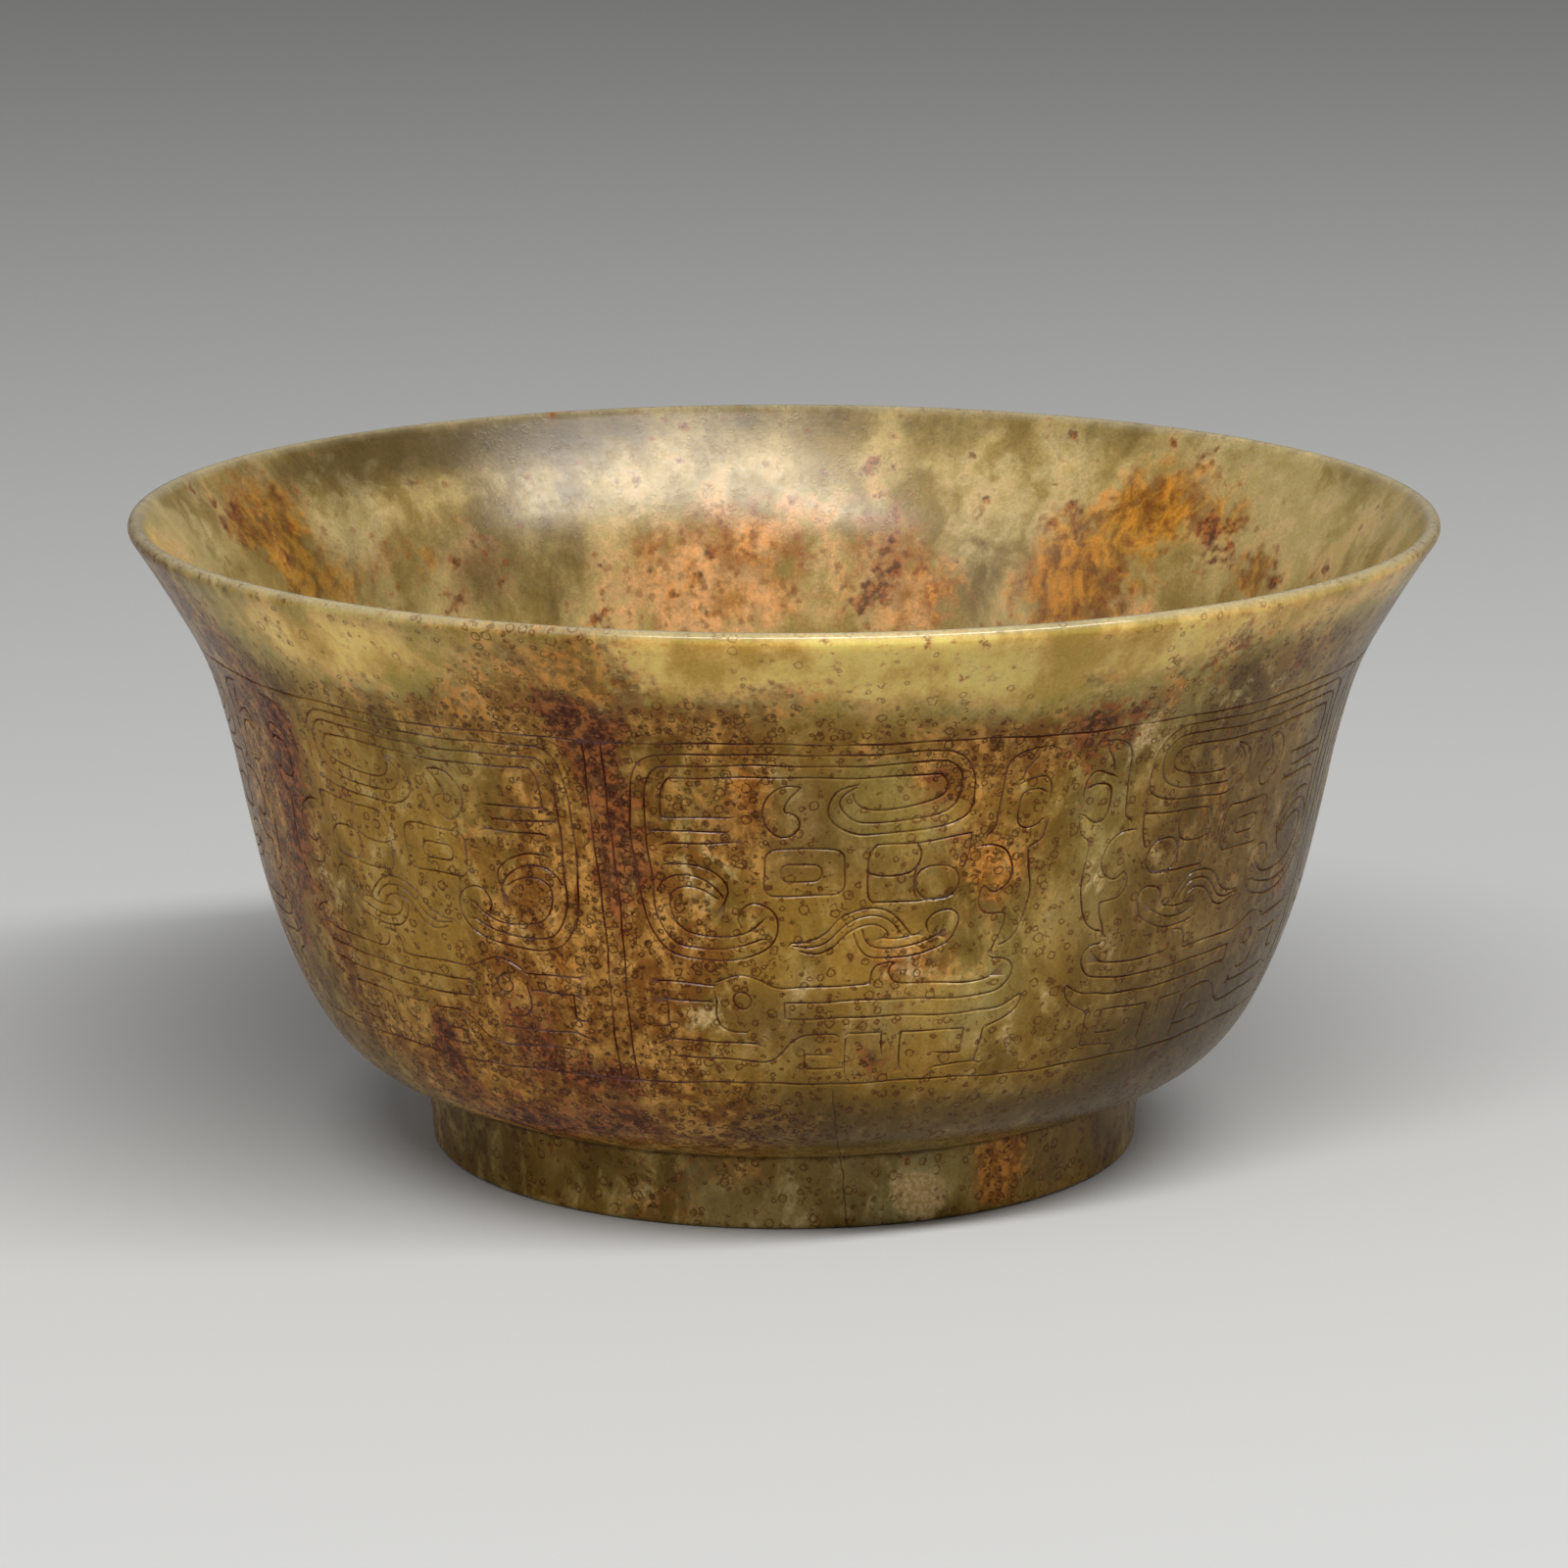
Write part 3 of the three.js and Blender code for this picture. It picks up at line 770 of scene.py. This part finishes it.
class Graph:
    """Adds shader nodes to a material and joins them."""

    def __init__(self, tree):
        self.tree = tree

    def add(self, kind, inputs, **settings):
        node = self.tree.nodes.new(kind)
        for name, value in settings.items():
            setattr(node, name, value)
        for name, value in inputs.items():
            if isinstance(value, bpy.types.NodeSocket):
                self.tree.links.new(value, node.inputs[name])
            else:
                node.inputs[name].default_value = value
        return node

    def math(self, operation, a, b=0.0, c=0.0, clamp=False):
        node = self.add("ShaderNodeMath", {0: a, 1: b, 2: c}, operation=operation, use_clamp=clamp)
        return node.outputs[0]

    def share(self, value, part):
        return self.math("MULTIPLY", value, part)

    def plus(self, value, part, rest):
        """A part of the value added to the rest."""
        return self.math("MULTIPLY_ADD", value, part, rest)

    def toward(self, value, goal, part):
        """The value moved toward the goal by a part of the way."""
        return self.plus(self.math("SUBTRACT", goal, value), part, value)

    def off(self, value, line):
        """How far the value is from a line, on either side."""
        return self.math("ABSOLUTE", self.math("SUBTRACT", value, line))

    def between(self, value, low, high):
        """0 at the low value, 1 at the high one, smooth in between."""
        return self.add("ShaderNodeMapRange", {"Value": value, "From Min": low, "From Max": high},
                        interpolation_type="SMOOTHSTEP").outputs["Result"]

    def value(self, name):
        return self.add("ShaderNodeAttribute", {}, attribute_name=name).outputs["Fac"]

    def scaled(self, place, factor):
        node = self.add("ShaderNodeVectorMath", {0: place, "Scale": factor}, operation="SCALE")
        return node.outputs["Vector"]

    def drawn_out(self, place):
        """The place with its height shrunk, so that a texture laid on it is drawn out upward."""
        shrink = (1.0, 1.0, DRAWN_OUT)
        node = self.add("ShaderNodeVectorMath", {0: place, 1: shrink}, operation="MULTIPLY")
        return node.outputs["Vector"]

    def noise(self, place, scale, detail, rough, output="Fac"):
        return self.add("ShaderNodeTexNoise", {"Vector": place, "Scale": scale, "Detail": detail,
                                               "Roughness": rough}).outputs[output]

    def strayed(self, place, scale, reach, detail):
        """The place moved about by a noise, so that a texture laid on it flows."""
        stray = self.scaled(self.noise(place, scale, detail, 0.5, "Color"), reach)
        return self.add("ShaderNodeVectorMath", {0: place, 1: stray}, operation="ADD").outputs["Vector"]

    def cells(self, place, size):
        """Cells of about this size: the distance to the middle of each, and its own random numbers."""
        cell = self.add("ShaderNodeTexVoronoi", {"Vector": place, "Scale": 1 / size}, feature="F1")
        picks = self.add("ShaderNodeSeparateColor", {0: cell.outputs["Color"]}).outputs
        return cell.outputs["Distance"], picks

    def mix(self, share, a, b, blend="MIX"):
        return self.add("ShaderNodeMix", {"Factor": share, "A": a, "B": b},
                        data_type="RGBA", blend_type=blend).outputs["Result"]

    def tone(self, texture, low, high, first, second):
        """The first colour where the texture is low, the second where it is high."""
        return self.mix(self.between(texture, low, high), colour(first), colour(second))


def texture_places(g, place):
    """The place as the textures are laid on it: as it is, drawn out upward or moved about."""
    upright = g.drawn_out(place)
    return {
        "still": place,
        "upright": upright,
        "warped": g.strayed(upright, *WARP),
        "flowing": g.drawn_out(g.strayed(place, *FLOW)),
        "ruffled": g.strayed(place, *RUFFLE),
    }


def stone_textures(g, places, inside):
    """The stone's textures by name. Some are softer inside."""
    made = {name: g.noise(places[laid_on], *how) for name, (laid_on, *how) in TEXTURES.items()}
    soft = g.toward(made["streak"], made["calm"], CALM_SHARE)
    made["coarse"] = g.toward(g.toward(made["cloud"], made["blotch"], BLOTCH_SHARE), soft, inside)
    made["calmer mottle"] = g.toward(made["mottle"], soft, inside)
    made["calmer fine"] = g.toward(made["fine"], soft, inside)
    return made


def ragged_stains(g, texture):
    """Each kind of stain, and the painted glow and shade, broken up by a texture."""
    made = {}
    for name, (broken_by, reach, low, high) in EDGES.items():
        ragged = g.plus(g.math("SUBTRACT", texture[broken_by], 0.5), reach, g.value(name))
        made[name] = g.between(ragged, low, high)
    return made


def pore_rings(g, place, stained, glow):
    """Round pores: each is a shell in the stone, so the cut surface shows it as a ring."""
    rings = 0.0
    for size, common in PORES:
        distance, picks = g.cells(place, size)
        gap = g.plus(distance, size, -PORE_RADIUS * size)
        gap = g.plus(picks[2], -PORE_RADIUS_VARIES * size, gap)
        shell = g.between(g.math("ABSOLUTE", gap), *PORE_WALL)
        chance = g.plus(stained, MORE_PORES_IN_STAINS, common)
        chance = g.plus(glow, -FEWER_PORES_IN_GLOW * common, chance)
        here = g.math("LESS_THAN", picks[0], chance)
        rings = g.math("MAXIMUM", rings, g.math("MULTIPLY", shell, here))
    return rings


def curled_flecks(g, texture, stained):
    """Short curled marks, thick in the stains and sparse elsewhere."""
    worm = g.off(texture["worm"], FLECK_MIDDLE)
    crowd = g.plus(stained, MORE_FLECKS_IN_STAINS, texture["crowd"])
    return g.math("MULTIPLY", g.between(worm, *FLECK_WIDTH), g.between(crowd, *FLECK_CROWD))


def soft_freckles(g, place, stained):
    """Soft round spots for the inside."""
    distance, picks = g.cells(g.strayed(place, *FRECKLE_STRAY), FRECKLE_SIZE)
    here = g.math("LESS_THAN", picks[0], g.plus(stained, MORE_FRECKLES_IN_STAINS, FRECKLES))
    return g.math("MULTIPLY", g.between(distance, *FRECKLE_EDGE), here)


def foot_shade_and_crack(g, place, outside):
    """Painted shade as a dark line in the crease above the foot, and a hairline crack at the front."""
    x, y, z = g.add("ShaderNodeSeparateXYZ", {0: g.strayed(place, *LINE_STRAY)}).outputs[:3]
    line = g.between(g.off(z, FOOT_SHADE_HEIGHT), *FOOT_SHADE_WIDTH)
    crack = g.between(g.off(g.plus(z, CRACK_LEAN, x), CRACK_PLACE), *CRACK_WIDTH)
    crack = g.math("MULTIPLY", crack, g.between(z, CRACK_TOP, CRACK_TOP - CRACK_FADE))
    crack = g.math("MULTIPLY", crack, g.math("LESS_THAN", y, 0.0))
    return line, g.math("MULTIPLY", crack, outside)


def groove_dirt(g, texture, stained, groove):
    """Dirt in the grooves, uneven and thicker where the stone is stained."""
    dirt = g.plus(g.between(texture["dirt"], *DIRT_UNEVEN), DIRT_VARIES, LEAST_DIRT)
    dirt = g.plus(stained, MORE_DIRT_IN_STAINS, dirt)
    return g.math("MULTIPLY", groove, dirt, clamp=True)


def layer_colours(g, texture, inside, stained, glow):
    """The colour of each layer. Russet and pale stains are softer inside, and rings follow the stone."""
    made = {name: colour(code) for name, code in PLAIN_COLOURS.items()}
    for name, (follows, *how) in TONES.items():
        made[name] = g.tone(texture[follows], *how)
    red = g.share(g.between(texture["blotch"], *RED_CLOUDS), RED_CLOUD_SHARE)
    softer = g.share(inside, SOFTER_INSIDE)
    made["russet"] = g.mix(softer, g.mix(red, made["russet"], made["red clouds"]), made["russet inside"])
    made["pale"] = g.mix(softer, made["pale"], made["pale inside"])
    ring = g.mix(glow, made["rings"], made["rings in glow"])
    made["rings"] = g.mix(stained, ring, made["rings in stains"])
    return made


def layer_places(g, places, texture, inside, rim, groove):
    """Where each layer is, and where the stone is stained. Marks are fewer inside and in the painted
    glow.
    """
    where = ragged_stains(g, texture)
    glow = where["glow"]
    stained = g.math("MAXIMUM", where["russet"], where["purple"])
    marks = g.math("SUBTRACT", g.plus(inside, -FEWER_MARKS_INSIDE, 1.0),
                   g.share(glow, FEWER_MARKS_IN_GLOW), clamp=True)
    flecks = curled_flecks(g, texture, stained)
    rings = pore_rings(g, places["ruffled"], stained, glow)
    unbroken = g.math("MULTIPLY", marks, g.between(texture["fine"], *RING_GAPS))
    freckles = soft_freckles(g, places["still"], stained)
    outside = g.math("SUBTRACT", 1.0, inside)
    where["light clouds"] = g.between(texture["mottle"], *LIGHT_CLOUDS)
    where["dark clouds"] = g.between(texture["cloud"], *DARK_CLOUDS)
    where["inside"] = inside
    where["rim"] = rim
    where["flecks"] = g.math("MULTIPLY", flecks, g.math("SUBTRACT", marks, glow, clamp=True))
    where["rings"] = g.math("MULTIPLY", unbroken, rings)
    where["freckles"] = g.math("MULTIPLY", freckles, inside)
    where["foot crease shade"], where["crack"] = foot_shade_and_crack(g, places["still"], outside)
    where["dirt"] = groove_dirt(g, texture, stained, groove)
    return where, stained


def jade():
    """The bowl's stone: layers of stains and marks over a cloudy ground, with painted light where the lip
    glows and painted shade in darker patches, polished and faintly clear.
    """
    material = bpy.data.materials.new("jade")
    material.use_nodes = True
    tree = material.node_tree
    g = Graph(tree)
    places = texture_places(g, g.scaled(g.add("ShaderNodeTexCoord", {}).outputs["Object"], 1 / MM))
    inside, rim, groove = [g.value(name) for name in ("inside", "rim", "groove")]
    texture = stone_textures(g, places, inside)
    where, stained = layer_places(g, places, texture, inside, rim, groove)
    glow = where["glow"]
    colours = layer_colours(g, texture, inside, stained, glow)
    body = colours["ground"]
    for name, share in LAYERS.items():
        body = g.mix(g.share(where[name], share), body, colours[name])
    body = g.mix(GRAIN_SHARE, body, colours["grain"], "OVERLAY")

    # Grooves, rim and inside shine more than the wall outside, and the lip lets the light in
    shine = g.plus(inside, MORE_INSIDE, OUTSIDE_SHINE)
    shine = g.plus(rim, MORE_ON_RIM, g.plus(groove, MORE_IN_GROOVES, shine))
    rough = g.plus(rim, -RIM_SMOOTHER, g.plus(texture["blotch"], ROUGHNESS_VARIES, ROUGHNESS))
    relief = g.plus(where["flecks"], FLECK_RELIEF, g.share(texture["fine"], FINE_RELIEF))
    relief = g.plus(where["rings"], PORE_RELIEF, relief)
    bump = g.add("ShaderNodeBump", {"Height": relief, "Strength": RELIEF_STRENGTH,
                                    "Distance": RELIEF_DEPTH * MM})
    varied = {
        "Base Color": body,
        "Specular IOR Level": shine,
        "Roughness": rough,
        "Subsurface Weight": g.plus(glow, SEE_INTO_GLOW, SEE_INTO),
        "Subsurface Scale": g.plus(glow, SEE_DEPTH_GLOW * MM, SEE_DEPTH * MM),
        "Normal": bump.outputs["Normal"],
    }
    surface = tree.nodes["Principled BSDF"].inputs
    surface["IOR"].default_value = REFRACTION
    surface["Specular IOR Level"].default_value = OUTSIDE_SHINE
    surface["Subsurface Radius"].default_value = SEE_DEPTH_BY_COLOUR
    for name, value in varied.items():
        tree.links.new(value, surface[name])
    return material


def floor_mesh():
    """A large square."""
    corners = [(x * FLOOR_HALF_SIZE, y * FLOOR_HALF_SIZE, 0)
               for x, y in ((-1, -1), (1, -1), (1, 1), (-1, 1))]
    mesh = bpy.data.meshes.new("floor")
    mesh.from_pydata(corners, [], [(0, 1, 2, 3)])
    return mesh


def pale_paper():
    material = bpy.data.materials.new("floor")
    material.use_nodes = True
    surface = material.node_tree.nodes["Principled BSDF"].inputs
    surface["Base Color"].default_value = FLOOR_COLOUR
    surface["Roughness"].default_value = FLOOR_ROUGHNESS
    return material


def in_scene(name, data):
    """A new object, put in the scene."""
    thing = bpy.data.objects.new(name, data)
    bpy.context.collection.objects.link(thing)
    return thing


def pointed(thing, place, target):
    """Puts a lamp or camera at a place and points it at a target."""
    thing.location = place
    thing.rotation_mode = "QUATERNION"
    thing.rotation_quaternion = (target - place).to_track_quat("-Z", "Y")


def area_light(name, place, size, power):
    light = bpy.data.lights.new(name, "AREA")
    light.shape = "RECTANGLE"
    light.size, light.size_y = size
    light.energy = power
    pointed(in_scene(name, light), place, LIGHTS_AIM)


def even_light():
    """Weak light from all round."""
    world = bpy.data.worlds.new("studio")
    bpy.context.scene.world = world
    world.use_nodes = True
    sky = world.node_tree.nodes["Background"].inputs
    sky["Color"].default_value = (1, 1, 1, 1)
    sky["Strength"].default_value = STUDIO_LIGHT


def camera():
    lens = bpy.data.cameras.new("camera")
    lens.lens = CAMERA_LENS
    lens.sensor_width = CAMERA_SENSOR
    away = Vector((0.0, -math.cos(CAMERA_RISE), math.sin(CAMERA_RISE)))
    thing = in_scene("camera", lens)
    pointed(thing, CAMERA_TARGET + CAMERA_DISTANCE * away, CAMERA_AIM)
    return thing


# The bowl
bowl = in_scene("jade_bowl", bowl_mesh())
bowl.data.materials.append(jade())
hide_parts("bowl")
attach(bowl, "root")

# The stage
floor = in_scene("floor", floor_mesh())
floor.data.materials.append(pale_paper())
even_light()
area_light("key", KEY_PLACE, KEY_SIZE, KEY_POWER)
area_light("fill", FILL_PLACE, FILL_SIZE, FILL_POWER)
bpy.context.scene.camera = camera()
bpy.context.scene.view_settings.view_transform = "Standard"
